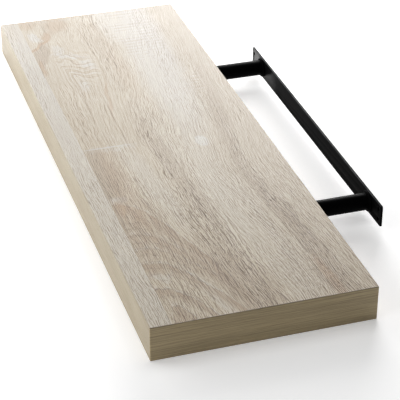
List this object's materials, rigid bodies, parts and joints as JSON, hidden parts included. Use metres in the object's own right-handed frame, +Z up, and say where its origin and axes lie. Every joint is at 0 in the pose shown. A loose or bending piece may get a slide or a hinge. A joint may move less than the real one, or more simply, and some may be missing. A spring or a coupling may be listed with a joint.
{
  "type": "wall shelf",
  "caption": "Straight board shelf with a hollow core that slides onto a concealed wall bracket: a flat plate with round arms.",
  "frame": {"origin": "centre of the wall plate's back face, where the bracket meets the wall", "axes": "+X along the shelf, +Y into the wall, +Z up"},
  "size_m": [0.7, 0.2975, 0.038],
  "materials": {
    "decor_board": "pale oak decor foil on fibreboard, satin, fine grain along the length",
    "edge_band": "pale oak decor band, satin",
    "chipboard": "raw chipboard",
    "honeycomb": "raw kraft paper",
    "black_steel": "black paint, satin"
  },
  "bodies": {
    "bracket": {"wall_plate": "black_steel", "left_arm": "black_steel", "right_arm": "black_steel", "arm_welds": "black_steel"},
    "shelf": {"top_panel": "decor_board", "bottom_panel": "decor_board", "front_edge_band": "edge_band", "left_edge_band": "edge_band", "right_edge_band": "edge_band", "front_rail": "chipboard", "back_rail": "chipboard", "left_end_rail": "chipboard", "right_end_rail": "chipboard", "left_socket_rail": "chipboard", "right_socket_rail": "chipboard", "left_core": "honeycomb", "middle_core": "honeycomb", "right_core": "honeycomb"}
  },
  "joints": [
    {"name": "shelf_slide", "type": "slide", "parent": "bracket", "child": "shelf", "axis": [0, 1, 0], "range_m": [-0.0935, 0.0675]}
  ]
}
